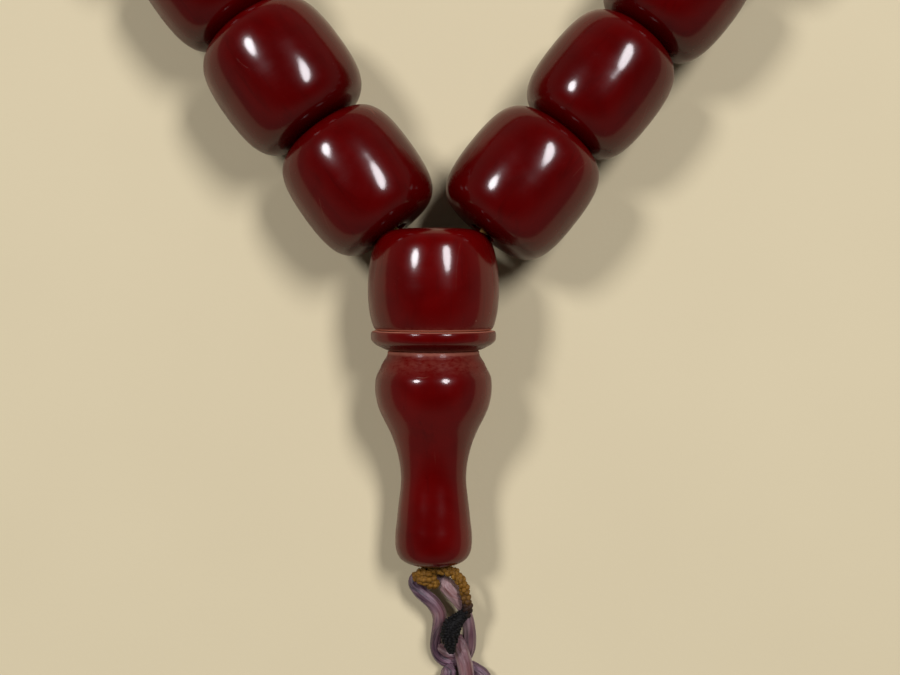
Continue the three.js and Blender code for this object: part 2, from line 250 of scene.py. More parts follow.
def add_tube(shape, route, radius, sides, start=0.0, seed=0.0, ridges=0, ridge_share=0.0, **layers):
    """A closed tube along a route. radius may change along it; ridges run lengthwise."""
    count = len(route)
    radius = np.broadcast_to(np.asarray(radius, float), (count,))
    _, across, over = direction_frames(route)
    angles = np.linspace(0, 2 * np.pi, sides, endpoint=False)
    swell = 1 + ridge_share * np.cos(ridges * angles)
    ring = (
        across[:, None, :] * (np.cos(angles) * swell)[None, :, None]
        + over[:, None, :] * (np.sin(angles) * swell)[None, :, None]
    )
    points = (route[:, None, :] + radius[:, None, None] * ring).reshape(-1, 3)
    points = np.concatenate([points, route[:1], route[-1:]])
    along = lengths_along(route) + start
    round_it = np.tile(angles, count) * np.repeat(radius, sides)
    lay = np.stack([round_it, np.repeat(along, sides), np.full(count * sides, seed)], axis=1)
    ends = [[0, along[0], seed], [0, along[-1], seed]]
    shape.add(
        points,
        capped_faces(count, sides),
        lay=np.concatenate([lay, ends]),
        **{
            name: np.concatenate([np.repeat(values, sides), [values[0], values[-1]]])
            for name, values in layers.items()
        },
    )


ROPE_PLIES = 3
PLY_SIDES = 7
PLY_SHARE = 0.56
PLY_SEED = 7.3


def add_rope(shape, route, radius, pitch, start=0.0):
    """Plies wound round a route; the whole rope has the given radius."""
    _, across, over = direction_frames(route)
    along = lengths_along(route) + start
    ply_radius = radius * PLY_SHARE
    for ply in range(ROPE_PLIES):
        turn = 2 * np.pi * (along / pitch + ply / ROPE_PLIES)
        offset = across * np.cos(turn)[:, None] + over * np.sin(turn)[:, None]
        wound = route + offset * (radius - ply_radius)
        add_tube(shape, wound, ply_radius, PLY_SIDES, start=start, seed=PLY_SEED * ply)


# ---- materials ----


SEED_SHIFT = (31.0, 57.0, 83.0)
TO_MILLIMETRES = (1000.0, 1000.0, 1000.0)


class Material:
    """A node material whose textures are sized in millimetres."""

    def __init__(self, name):
        self.material = bpy.data.materials.new(name)
        self.material.use_nodes = True
        self.nodes = self.material.node_tree.nodes
        self.links = self.material.node_tree.links
        self.shader = self.nodes["Principled BSDF"]

    def add(self, kind, inputs=None, **settings):
        """A node with its settings; an input is a plain value or another node's output."""
        node = self.nodes.new(kind)
        for key, value in settings.items():
            setattr(node, key, value)
        for key, value in (inputs or {}).items():
            if hasattr(value, "is_output"):
                self.links.new(value, node.inputs[key])
            else:
                node.inputs[key].default_value = value
        return node

    def local(self):
        """Object coordinates in millimetres, shifted by the piece's own seed."""
        place = self.add("ShaderNodeTexCoord").outputs["Object"]
        seed = self.attribute("seed", "Fac")
        shift = {0: SEED_SHIFT, "Scale": seed}
        apart = self.add("ShaderNodeVectorMath", shift, operation="SCALE")
        inputs = {0: place, 1: TO_MILLIMETRES, 2: apart.outputs[0]}
        return self.add("ShaderNodeVectorMath", inputs, operation="MULTIPLY_ADD").outputs[0]

    def attribute(self, name, output="Vector"):
        return self.add("ShaderNodeAttribute", attribute_name=name).outputs[output]

    def stretched(self, vector, scale):
        return self.add("ShaderNodeMapping", {"Vector": vector, "Scale": scale}).outputs[0]

    def noise(self, vector, scale, detail=3.0, roughness=0.5, distortion=0.0):
        inputs = {"Vector": vector, "Scale": scale, "Detail": detail}
        inputs |= {"Roughness": roughness, "Distortion": distortion}
        return self.add("ShaderNodeTexNoise", inputs).outputs["Fac"]

    def spots(self, vector, scale):
        """The distance to the nearest of many scattered points."""
        inputs = {"Vector": vector, "Scale": scale}
        return self.add("ShaderNodeTexVoronoi", inputs).outputs["Distance"]

    def ranged(self, value, low, high, to_low=0.0, to_high=1.0):
        """The value carried from low..high to to_low..to_high, and held at both ends."""
        inputs = {"Value": value, "From Min": low, "From Max": high}
        inputs |= {"To Min": to_low, "To Max": to_high}
        return self.add("ShaderNodeMapRange", inputs).outputs["Result"]

    def maths(self, operation, first, second=0.0):
        return self.add("ShaderNodeMath", {0: first, 1: second}, operation=operation).outputs[0]

    def mixed(self, share, first, second):
        """A mix of two colours, each a colour or another node's output."""
        node = self.add("ShaderNodeMix", {"Factor": share}, data_type="RGBA")
        for socket, value in ((node.inputs[6], first), (node.inputs[7], second)):
            if hasattr(value, "is_output"):
                self.links.new(value, socket)
            else:
                socket.default_value = (*value, 1.0)
        return node.outputs[2]

    def bump(self, height, distance, strength, normal=None):
        """Relief of a height in millimetres, laid over another relief if one is given."""
        inputs = {"Height": height, "Distance": distance * MM, "Strength": strength}
        if normal is not None:
            inputs["Normal"] = normal
        return self.add("ShaderNodeBump", inputs).outputs[0]

    def drive(self, **sockets):
        """Links shader sockets to what varies over the surface."""
        for name, value in sockets.items():
            self.links.new(value, self.shader.inputs[name.replace("_", " ")])

    def fixed(self, **sockets):
        """Sets shader sockets that are the same all over."""
        for name, value in sockets.items():
            self.shader.inputs[name.replace("_", " ")].default_value = value


SCRATCH_COLOUR = (0.30, 0.13, 0.08)
SPECK_COLOUR = (0.36, 0.20, 0.14)
RESIDUE_COLOUR = (0.145, 0.029, 0.019)
THICK_RESIDUE_COLOUR = (0.50, 0.20, 0.13)
STREAK_SHADE = 0.72
POLISH = 0.145
DULL_POLISH = 0.02


def resin(name, deep, bright, grooved=False):
    """Old dark red resin: cloudy colour, a hazy polish, hairline scratches, specks and residue.

    A grooved piece loses its polish where residue lies.
    """
    m = Material(name)
    place = m.local()
    clouds = m.noise(place, 0.11, 4.0, 0.55, 0.6)
    colour = m.mixed(m.ranged(clouds, 0.32, 0.68), deep, bright)
    streaks = m.noise(m.stretched(place, (0.5, 0.5, 0.07)), 0.9, 3.0, 0.5, 1.2)
    darker = tuple(STREAK_SHADE * part for part in deep)
    colour = m.mixed(m.ranged(streaks, 0.55, 0.75, 0.0, 0.5), colour, darker)

    lines = m.noise(m.stretched(place, (1.0, 0.6, 0.35)), 0.11, 0.0, 0.4, 0.15)
    line = m.ranged(m.maths("ABSOLUTE", m.maths("SUBTRACT", lines, 0.5)), 0.0, 0.0013, 1.0, 0.0)
    where = m.ranged(m.noise(place, 0.17, 1.0), 0.61, 0.66)
    scratch = m.maths("MULTIPLY", line, where)
    colour = m.mixed(m.maths("MULTIPLY", scratch, 0.22), colour, SCRATCH_COLOUR)
    speck = m.ranged(m.spots(place, 0.19), 0.026, 0.016)
    colour = m.mixed(m.maths("MULTIPLY", speck, 0.4), colour, SPECK_COLOUR)

    residue = m.attribute("residue", "Fac")
    patches = m.noise(m.stretched(place, (1.0, 1.0, 2.2)), 1.1, 5.0, 0.65)
    left_behind = m.maths("MULTIPLY", residue, m.ranged(patches, 0.36, 0.62, 0.15, 1.0))
    colour = m.mixed(left_behind, colour, RESIDUE_COLOUR)
    colour = m.mixed(m.ranged(residue, 0.85, 1.3), colour, THICK_RESIDUE_COLOUR)

    haze = m.noise(place, 0.5, 5.0, 0.6)
    rough = m.ranged(haze, 0.3, 0.7, 0.20, 0.28)
    rough = m.maths("ADD", rough, m.maths("MULTIPLY", left_behind, 0.35))
    m.drive(Base_Color=colour, Roughness=rough)

    rings = m.noise(m.stretched(place, (0.06, 0.06, 3.4)), 1.0, 3.0, 0.6)
    normal = m.bump(rings, 0.012, 0.5)
    grain = m.noise(place, 2.6, 3.0, 0.6)
    normal = m.bump(grain, 0.006, 0.5, normal)
    normal = m.bump(m.maths("MULTIPLY", scratch, -1.0), 0.02, 0.6, normal)
    normal = m.bump(m.maths("MULTIPLY", speck, -1.0), 0.05, 0.6, normal)
    m.drive(Normal=normal)
    ripple = m.noise(place, 0.33, 3.0, 0.55)
    coat_normal = m.bump(ripple, 0.03, 0.35)
    m.drive(Coat_Normal=m.bump(m.noise(place, 5.0, 2.0, 0.7), 0.003, 0.6, coat_normal))
    m.fixed(Coat_Weight=POLISH, Coat_Roughness=0.12, Coat_IOR=2.4, IOR=1.5)
    m.fixed(Specular_IOR_Level=0.09)
    if grooved:
        m.drive(Coat_Weight=m.ranged(residue, 0.0, 0.5, POLISH, DULL_POLISH))
    return m.material


SCORCHED_COLOUR = (0.030, 0.012, 0.006)
CHARRED_COLOUR = (0.0022, 0.002, 0.0022)


def twisted_thread(name, base, pale, dark, char=False):
    """Spun yarn: fibres that run round each ply at a slant; char blackens its burnt part."""
    m = Material(name)
    lay = m.attribute("lay")
    fibres = m.noise(m.stretched(lay, (2.6, 0.9, 1.0)), 1.6, 4.0, 0.6, 0.8)
    # The fibres carry the colour from painted shade between them to a painted highlight on them.
    colour = m.mixed(m.ranged(fibres, 0.3, 0.7), dark, pale)
    blotches = m.noise(m.stretched(lay, (0.5, 0.35, 1.0)), 1.0, 3.0)
    colour = m.mixed(m.ranged(blotches, 0.35, 0.65, 0.0, 0.7), colour, base)
    if char:
        burnt = m.attribute("burnt", "Fac")
        spread = m.ranged(m.noise(lay, 0.9, 3.0), 0.2, 0.8, -0.16, 0.16)
        share = m.maths("ADD", burnt, m.maths("MULTIPLY", spread, m.ranged(burnt, 0.0, 0.2)))
        colour = m.mixed(m.ranged(share, 0.12, 0.55), colour, SCORCHED_COLOUR)
        colour = m.mixed(m.ranged(share, 0.5, 0.85), colour, CHARRED_COLOUR)
    m.drive(Base_Color=colour, Normal=m.bump(fibres, 0.12, 0.8))
    m.drive(Roughness=m.ranged(fibres, 0.2, 0.8, 0.50, 0.75))
    m.fixed(Sheen_Weight=0.0 if char else 0.2, Sheen_Roughness=0.5, Specular_IOR_Level=0.22)
    return m.material


# Purple in painted shade between the ribs, and in a painted sheen on them.
PURPLE_RIB_SHADE = (0.017, 0.006, 0.019)
PURPLE_RIB_SHEEN = (0.142, 0.068, 0.104)
ROSE = (0.17, 0.063, 0.058)
GREY_ROSE = (0.36, 0.245, 0.245)


def satin(name):
    """Worn purple satin cord: lengthwise ribs, a pale sheen (the shader's own, and a painted sheen
    on the ribs with painted shade between them), faded to rose and grey in places.
    """
    m = Material(name)
    lay = m.attribute("lay")
    fade = m.attribute("fade", "Fac")
    fibres = m.noise(m.stretched(lay, (3.4, 0.16, 1.0)), 1.5, 3.0, 0.6)
    broad = m.noise(m.stretched(lay, (0.9, 0.10, 1.0)), 1.2, 2.0, 0.5)
    # The ribs carry the purple from painted shade between them to a painted sheen on them.
    colour = m.mixed(m.ranged(fibres, 0.38, 0.60), PURPLE_RIB_SHADE, PURPLE_RIB_SHEEN)
    blotches = m.noise(m.stretched(lay, (0.3, 0.28, 1.0)), 1.0, 3.0)
    worn = m.maths("ADD", m.ranged(blotches, 0.45, 0.75, 0.0, 0.55), fade)
    worn = m.maths("MULTIPLY", worn, m.ranged(fibres, 0.15, 0.55, 0.35, 1.0))
    rosy = m.mixed(m.ranged(broad, 0.38, 0.62), ROSE, GREY_ROSE)
    colour = m.mixed(worn, colour, rosy)
    m.drive(Base_Color=colour)
    ribs = m.bump(fibres, 0.16, 0.9)
    across = m.noise(m.stretched(lay, (0.6, 3.4, 1.0)), 1.3, 2.0, 0.5)
    m.drive(Normal=m.bump(across, 0.05, 0.6, ribs))
    m.drive(Roughness=m.ranged(fibres, 0.2, 0.8, 0.50, 0.34))
    m.fixed(Sheen_Weight=0.12, Sheen_Roughness=0.35, Specular_IOR_Level=0.55)
    return m.material


BEAD_RESIN = resin("bead_resin", (0.060, 0.0002, 0.0003), (0.083, 0.0003, 0.0005))
LEADER_RESIN = resin("leader_resin", (0.070, 0.0002, 0.0003), (0.101, 0.0004, 0.0005), grooved=True)
# The thread's colours: all over, a painted highlight where a fibre catches the light, and painted
# shade between the fibres.
GOLD = ((0.150, 0.064, 0.005), (0.305, 0.152, 0.017), (0.051, 0.020, 0.002))
GOLD_THREAD = twisted_thread("gold_thread", *GOLD)
KNOT_THREAD = twisted_thread("knot_thread", *GOLD, char=True)
PURPLE_SATIN = satin("purple_satin")

# ---- turned pieces: beads, dividers and the leader ----

BORE_RADIUS = 1.9
CAD_BEAD_SIDES = 16
TURNED_SIDES = 88
BEAD_OUTLINE_STEP = 0.45
BEAD_BEVEL = 0.5
# The side of a bead is an arc of this radius, and its corners are round as a superellipse is.
SIDE_ARC = 46.0
CORNER_POWER = 5.0
# A bead's radius is this much less than its CAD solid's, and each end reaches this much further.
# Beside a bend of the cord it is shorter instead, so that the loop can squeeze.
SIDE_TRIM = 0.3
END_SWELL = 0.12
BEND_ROOM = 0.05
# How far hand turning strays from round.
BEAD_WAVINESS = 0.03
DIVIDER_WAVINESS = 0.01
LEADER_WAVINESS = 0.012
# Each turned piece has a seed of its own. The beads' seeds are their numbers.
FIRST_DIVIDER_SEED = 50
BODY_SEED = 60
COLLAR_SEED = 61
HEAD_SEED = 62


def bored_barrel(radius, half):
    """A barrel's outline from one bore mouth to the other and back through the bore."""
    bore, bevel = BORE_RADIUS, BEAD_BEVEL
    turn = np.linspace(-0.5, 0.5, 400) * np.pi
    share = 2 / CORNER_POWER
    level = half * np.sign(turn) * np.abs(np.sin(turn)) ** share
    out = (radius - level**2 / (2 * SIDE_ARC)) * np.abs(np.cos(turn)) ** share
    outline = resampled(np.stack([out, level, 0 * level], axis=1), BEAD_OUTLINE_STEP)
    kept = [(r, z) for r, z, _ in outline if r > bore + 1.5 * bevel]
    mouth = [(bore + bevel, half), (bore + 0.15, half - 0.14), (bore, half - bevel)]
    inside = [(bore, z) for z in np.linspace(half - 2 * bevel, -half + 2 * bevel, 8)]
    return [(r, -z) for r, z in reversed(mouth)] + kept + mouth + inside


def add_turned(shape, outline, seed, waviness, residue=None):
    """Turns a closed outline about local Z. Hand turning leaves it a little out of round."""
    draw = np.random.default_rng(int(1000 * seed) + 17)
    outline = np.asarray(outline, float)
    radius, level = outline[:, :1], outline[:, 1:]
    angle = np.linspace(0, 2 * np.pi, TURNED_SIDES, endpoint=False)[None, :]
    wave = np.zeros((len(outline), TURNED_SIDES))
    for lobes in (1, 2, 3, 5):
        for bend in (0.12, 0.31):
            tilt, phase = draw.uniform(0, 2 * np.pi, 2)
            wave += np.sin(lobes * angle + phase) * np.sin(bend * level + tilt) / (1 + lobes)
    outer = radius > BORE_RADIUS + 0.6
    turned = radius + waviness * wave * outer
    rings = np.stack([turned * np.cos(angle), turned * np.sin(angle), level + 0 * angle], axis=-1)
    marks = np.zeros(len(outline)) if residue is None else np.asarray(residue, float)
    shape.add(
        rings.reshape(-1, 3),
        grid_faces(len(outline), TURNED_SIDES, closed=True),
        seed=np.full(rings.size // 3, seed),
        residue=np.repeat(marks, TURNED_SIDES),
    )


def frame_matrix(origin, axis, up=UP):
    """Local Z along axis, local Y as near to up as it can be."""
    z = Vector(axis).normalized()
    x = Vector(up).cross(z).normalized()
    y = z.cross(x)
    matrix = Matrix((x, y, z)).transposed().to_4x4()
    matrix.translation = Vector(origin) * MM
    return matrix


def node_points(node):
    mesh = frame["nodes"][node].data
    points = np.empty(3 * len(mesh.vertices))
    mesh.vertices.foreach_get("co", points)
    return points.reshape(-1, 3) / MM


class Threaded:
    """Where a bead or divider sits and how big it is, read from its CAD solid and its joint."""

    def __init__(self, node):
        self.node = node
        points = node_points(node)
        self.centre = (points.min(0) + points.max(0)) / 2
        self.centre[2] = points[:, 2].min() + np.ptp(points[:, 2]) / 2
        if f"{node}_spin" in joints:
            self.axis = axis_of(joints[f"{node}_spin"])
        else:
            spoke = self.centre - ARC_CENTRE
            self.axis = np.array([-spoke[1], spoke[0], 0.0]) / np.hypot(spoke[0], spoke[1])
        offset = points - self.centre
        reach = offset @ self.axis
        self.half = np.abs(reach).max()
        away = np.linalg.norm(offset - reach[:, None] * self.axis, axis=1).max()
        self.radius = away * math.cos(math.pi / CAD_BEAD_SIDES)
        self.cord = joint_of_body[node]["parent"]

    def ends(self):
        """Where the cord goes in and comes out."""
        centre = np.array([self.centre[0], self.centre[1], STRAND_HEIGHT])
        return centre - self.half * self.axis, centre + self.half * self.axis


beads = [Threaded(node) for node in sorted(frame["nodes"]) if node.startswith("bead_")]
dividers = [Threaded(node) for node in sorted(frame["nodes"]) if node.startswith("divider_")]


def beside_bend(number):
    """Whether a neighbour of this bead is threaded on another length of the loop cord."""
    nearby = [beads[k].cord for k in (number - 2, number - 1, number) if 0 <= k < len(beads)]
    return len(set(nearby)) > 1


for number, bead in enumerate(beads, start=1):
    shape = Shape()
    half = bead.half - BEND_ROOM if beside_bend(number) else bead.half + END_SWELL
    add_turned(shape, bored_barrel(bead.radius - SIDE_TRIM, half), number, BEAD_WAVINESS)
    place = frame_matrix(bead.centre, bead.axis)
    piece = shape.build(f"turned_{bead.node}", BEAD_RESIN, body_of_node[bead.node], place)
    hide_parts(bead.node)

for number, divider in enumerate(dividers, start=FIRST_DIVIDER_SEED):
    rim, half = divider.radius, divider.half
    outline = [(BORE_RADIUS, -half + 0.4), (BORE_RADIUS + 0.4, -half), (3.6, -half)]
    outline += [(4.6, -half + 0.5), (rim - 1.0, -half + 0.9), (rim - 0.25, -half + 1.3)]
    outline += [(rim, -half + 1.9), (rim, 0.0)]
    mirrored = [(r, -z) for r, z in reversed(outline[:-1])]
    shape = Shape()
    add_turned(shape, outline + mirrored, number, DIVIDER_WAVINESS)
    place = frame_matrix(divider.centre, divider.axis)
    piece = shape.build(f"turned_{divider.node}", BEAD_RESIN, body_of_node[divider.node], place)
    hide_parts(divider.node)

# The leader's outlines: (radius, level along its axis) from the foot up.
HEAD_OUTLINE = [
    (1.0, -6.8), (8.7, -6.8), (9.2, -6.74), (9.5, -6.5), (9.75, -6.0), (10.0, -5.2),
    (10.3, -3.8), (10.49, -2.0), (10.55, -0.5), (10.52, 0.8), (10.44, 2.2), (10.31, 3.4),
    (10.12, 4.6), (9.88, 5.7), (9.59, 6.7), (9.24, 7.5), (8.66, 8.3), (7.7, 8.95), (6.0, 9.37),
    (3.6, 9.5), (1.0, 9.52),
]
COLLAR_OUTLINE = [
    (6.9, -9.97), (7.5, -9.93), (8.0, -9.75), (8.9, -9.3), (9.6, -8.85), (10.0, -8.35),
    (10.08, -7.85), (10.07, -7.4), (10.02, -7.1), (9.85, -6.93), (9.5, -6.88), (8.8, -6.86),
    (8.2, -6.86),
]
BODY_OUTLINE = [
    (2.6, -44.7), (3.7, -44.57), (4.7, -44.2), (5.4, -43.7), (5.8, -43.1), (6.06, -42.4),
    (6.2, -41.5), (6.22, -40.5), (6.16, -39.3), (6.0, -38.0), (5.8, -36.0), (5.55, -34.0),
    (5.35, -32.2), (5.27, -30.6), (5.38, -29.0), (5.6, -27.6), (5.95, -26.1), (6.4, -24.7),
    (7.0, -23.2), (7.7, -21.8), (8.4, -20.4), (8.95, -19.0), (9.28, -17.6), (9.4, -16.6),
    (9.41, -15.8), (9.37, -15.0), (9.27, -14.35), (9.06, -13.8), (8.6, -12.9), (8.1, -11.9),
    (7.65, -11.2), (7.42, -10.7), (7.38, -10.3), (7.34, -10.08), (7.2, -10.0),
]

LEADER_PLACE = frame_matrix(LEADER_ORIGIN, LEADER_AXIS)


def smooth_outline(points, step):
    flat = np.array([(r, z, 0.0) for r, z in points])
    return [(r, z) for r, z, _ in curve_through(flat, step)]


def lined(points, step, bore=BORE_RADIUS, bevel=0.4):
    """Smooths an outline and closes it through a bevelled bore."""
    low, high = points[0][1], points[-1][1]
    mouth_low = [(bore, low + bevel), (bore + bevel, low)]
    mouth_high = [(bore + bevel, high), (bore, high - bevel)]
    inside = [(bore, z) for z in np.linspace(high - 2 * bevel, low + 2 * bevel, 12)]
    return mouth_low + smooth_outline(points, step) + mouth_high + inside


def residue_near(outline, level, reach, most):
    """How much polish and dust is left beside a groove at this level."""
    return [most * math.exp(-(((z - level) / reach) ** 2)) if r > 4 else 0.0 for r, z in outline]


body_outline = lined(BODY_OUTLINE, 0.35)
neck = residue_near(body_outline, -10.3, 1.0, 1.0)
shoulder = residue_near(body_outline, -12.0, 1.2, 0.6)
shape = Shape()
add_turned(shape, body_outline, BODY_SEED, LEADER_WAVINESS, np.maximum(neck, shoulder))
leader_body = shape.build("turned_leader_body", LEADER_RESIN, "leader_body", LEADER_PLACE)
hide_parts("leader_body")

collar_outline = lined(COLLAR_OUTLINE, 0.12)
top_dust = residue_near(collar_outline, -6.84, 0.16, 1.6)
under_dust = residue_near(collar_outline, -9.9, 0.5, 1.0)
shape = Shape()
add_turned(shape, collar_outline, COLLAR_SEED, LEADER_WAVINESS, np.maximum(top_dust, under_dust))
leader_collar = shape.build("turned_leader_collar", LEADER_RESIN, "leader_collar", LEADER_PLACE)
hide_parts("leader_collar")

# The direction of each strand from the point in the head where the two meet.
STRAND_ARMS = {}
for side, node in FIRST_BEADS.items():
    along_bore = axis_of(joints[f"{node}_spin"])
    STRAND_ARMS[side] = along_bore * np.sign(along_bore[1])

ARM_LENGTH = 20.0
ARM_SIDES = 40
CARVED_EDGE = math.radians(32)


def bore_tool(name, start, direction):
    """A cylinder that cuts one arm of the head's Y bore."""
    shape = Shape()
    route = np.array([start + direction * t for t in np.linspace(0, ARM_LENGTH, 4)])
    add_tube(shape, route, BORE_RADIUS, ARM_SIDES)
    return shape.build(name, LEADER_RESIN, "leader")


def add_solid_turned(shape, outline, seed, residue):
    """A turned piece with no bore: its outline runs from axis to axis."""
    angle = np.linspace(0, 2 * np.pi, TURNED_SIDES, endpoint=False)
    rings = [[(r * math.cos(a), r * math.sin(a), z) for a in angle] for r, z in outline]
    points = np.array(rings).reshape(-1, 3)
    poles = np.array([[0, 0, outline[0][1]], [0, 0, outline[-1][1]]])
    faces = capped_faces(len(outline), TURNED_SIDES)
    marks = np.concatenate([np.repeat(residue, TURNED_SIDES), [residue[0], residue[-1]]])
    shape.add(np.concatenate([points, poles]), faces, seed=np.full(len(marks), seed), residue=marks)


def carve(piece, tools):
    """Cuts the tools out of a piece for good, and keeps the edges that this makes sharp."""
    for tool in tools:
        cut = piece.modifiers.new("bore", "BOOLEAN")
        cut.operation = "DIFFERENCE"
        cut.solver = "EXACT"
        cut.object = tool
    view = bpy.context.evaluated_depsgraph_get()
    carved = bpy.data.meshes.new_from_object(piece.evaluated_get(view))
    piece.modifiers.clear()
    piece.data = carved
    carved.set_sharp_from_angle(angle=CARVED_EDGE)
    for tool in tools:
        bpy.data.objects.remove(tool)


head_outline = smooth_outline(HEAD_OUTLINE, 0.25)
shape = Shape()
add_solid_turned(shape, head_outline, HEAD_SEED, residue_near(head_outline, -6.9, 0.5, 1.9))
leader_head = shape.build("turned_leader_head", LEADER_RESIN, "leader", LEADER_PLACE)
tools = [bore_tool(f"arm_{side}", MEETING_POINT, arm) for side, arm in STRAND_ARMS.items()]
tools.append(bore_tool("stem", LEADER_ORIGIN, -LEADER_AXIS))
carve(leader_head, tools)
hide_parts("leader_head")

# ---- the loop cord: one twisted thread, in the nine lengths that the squeeze bends ----

CORD_RADIUS = 0.8
CORD_PITCH = 4.4
CORD_STEP = 0.6
LEADER_CORD_RADIUS = 0.66
LEADER_CORD_PITCH = 3.6
LEADER_CORD_APART = 0.62
# How far a strand ends from the point where the two meet.
STRAND_END = 2.7
SEAM_OVERLAP = 0.35


def segment_route(side, index):
    """The centre line of one length of cord, from its bend down to the next."""
    body = f"cord_{side}_{index}"
    start = pivot(joint_of_body[body])
    after = joint_of_body.get(f"cord_{side}_{index + 1}")
    end = pivot(after) if after else MEETING_POINT + STRAND_END * STRAND_ARMS[side]
    carried = [threaded for threaded in beads + dividers if threaded.cord == body]
    carried.sort(key=lambda threaded: np.linalg.norm(threaded.centre - start))
    points = [start]
    for threaded in carried:
        ends = sorted(threaded.ends(), key=lambda p: np.linalg.norm(p - start))
        points += list(ends)
    return np.array(points + [end])


def top_route():
    """The arc over the top of the loop, from the left strand's first bend to the right one's."""
    left, right = (pivot(joint_of_body[f"cord_{side}_1"]) for side in FIRST_BEADS)
    first = math.atan2(left[1] - ARC_CENTRE[1], left[0])
    last = math.atan2(right[1] - ARC_CENTRE[1], right[0])
    radius = np.hypot(left[0], left[1] - ARC_CENTRE[1])
    angles = np.linspace(first, last, 80)
    ring = np.stack([radius * np.cos(angles), radius * np.sin(angles), 0 * angles], axis=1)
    return ring + ARC_CENTRE


def add_loop_cord(name, route, start):
    """One length, run a little into its neighbours so that no seam opens when the cord bends."""
    for end, inner in ((0, 1), (-1, -2)):
        outward = route[end] - route[inner]
        route[end] = route[end] + outward / np.linalg.norm(outward) * SEAM_OVERLAP
    shape = Shape()
    add_rope(shape, resampled(route, CORD_STEP), CORD_RADIUS, CORD_PITCH, start)
    piece = shape.build(f"thread_{name}", GOLD_THREAD, body_of_node[name])
    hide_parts(name)


add_loop_cord("cord_top", top_route(), 0.0)
for side in FIRST_BEADS:
    start = 0.0
    for index in (1, 2, 3, 4):
        route = segment_route(side, index)
        add_loop_cord(f"cord_{side}_{index}", route, start)
        start += lengths_along(route)[-1]


def leader_point(across, level):
    """A point given from the leader's axis, in the model's frame."""
    return np.array(LEADER_PLACE @ (Vector((across, 0.0, level)) * MM)) / MM


shape = Shape()
for side in (-1, 1):
    levels = np.linspace(-1.6, -44.9, 80)
    run = np.array([leader_point(side * LEADER_CORD_APART, level) for level in levels])
    add_rope(shape, run, LEADER_CORD_RADIUS, LEADER_CORD_PITCH, start=3 * side)
leader_cord = shape.build("thread_leader_cord", GOLD_THREAD, "leader")
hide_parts("leader_cord")

# ---- the knot under the foot, its burnt end, and the purple tail ----


def route_beside(points, step):
    """A curve through points given beside the leader: (across, along, height)."""
    return curve_through([beside_leader(*point) for point in points], step)


KNOT_LIMB = [
    (-0.6, -45.0, 6.9), (0.9, -45.2, 6.8), (2.3, -45.4, 6.6), (3.6, -46.1, 6.4),
    (4.6, -47.4, 6.1), (5.15, -49.0, 5.8), (5.4, -50.7, 5.6), (5.3, -52.1, 5.4),
    (4.5, -53.1, 5.3),
]
LIMB_RADII = [0.8, 0.9, 0.95, 1.0, 0.8, 0.75, 0.8, 0.95, 0.8]
KNOT_STEP = 0.2
LIMB_PLIES = 4
LIMB_PITCH = 4.6
LIMB_CORE = 0.72
BURNT_CORE = 0.86
GRANULE_SPACING = 0.72
GRANULE_LUMPS = 0.10


def add_granule(shape, centre, along, size, draw, burnt, seed):
    """One bulge of the thread: a small lumpy egg that lies along the strand."""
    rings, sides = 7, 9
    turn = np.linspace(-0.46, 0.46, rings) * np.pi
    angle = np.linspace(0, 2 * np.pi, sides, endpoint=False)
    along = along / np.linalg.norm(along)
    side = np.cross(along, draw.normal(size=3))
    side /= np.linalg.norm(side)
    over = np.cross(along, side)
    length, width = size
    lump = 1 + GRANULE_LUMPS * draw.normal(size=(rings, sides))
    egg = (
        along[None, None, :] * (length * np.sin(turn))[:, None, None]
        + side[None, None, :] * (width * np.cos(turn)[:, None] * np.cos(angle) * lump)[..., None]
        + over[None, None, :] * (width * np.cos(turn)[:, None] * np.sin(angle) * lump)[..., None]
    )
    points = np.concatenate([egg.reshape(-1, 3), [-along * length, along * length]]) + centre
    lay = points - centre + 9.0 * seed
    marks = np.full(len(points), burnt)
    shape.add(points, capped_faces(rings, sides), lay=lay, burnt=marks)


# The limb is the thread's own end, wound from four plies of bulges and scorched towards its tip.
draw = np.random.default_rng(5)
limb = route_beside(KNOT_LIMB, KNOT_STEP)
limb_share = np.linspace(0, 1, len(limb))
limb_radius = np.interp(limb_share, np.linspace(0, 1, len(LIMB_RADII)), LIMB_RADII)
limb_burnt = np.clip((limb_share - 0.50) / 0.60, 0, 1)
shape = Shape()
add_tube(shape, limb, limb_radius * LIMB_CORE, 14, burnt=limb_burnt)
tangents, across, over = direction_frames(limb)
for ply in range(LIMB_PLIES):
    for at in np.arange(0.0, lengths_along(limb)[-1], GRANULE_SPACING):
        k = min(int(at / KNOT_STEP), len(limb) - 1)
        turn = 2 * np.pi * (at / LIMB_PITCH + ply / LIMB_PLIES)
        out = across[k] * math.cos(turn) + over[k] * math.sin(turn)
        wind = tangents[k] + 0.9 * np.cross(tangents[k], out)
        place = limb[k] + out * limb_radius[k] * 0.62 + draw.normal(scale=0.08, size=3)
        size = (draw.uniform(0.42, 0.66), draw.uniform(0.34, 0.48))
        add_granule(shape, place, wind, size, draw, limb_burnt[k], draw.uniform(0, 9))

# The thread's knot is two lobes: bulging turns wound across each other round an oval middle.
# A lobe is (across, along, height) of its middle and its three radii.
LOBES = [((-1.4, -46.4, 5.9), (1.6, 1.2, 1.3)), ((-0.2, -47.6, 5.5), (0.8, 0.6, 0.7))]
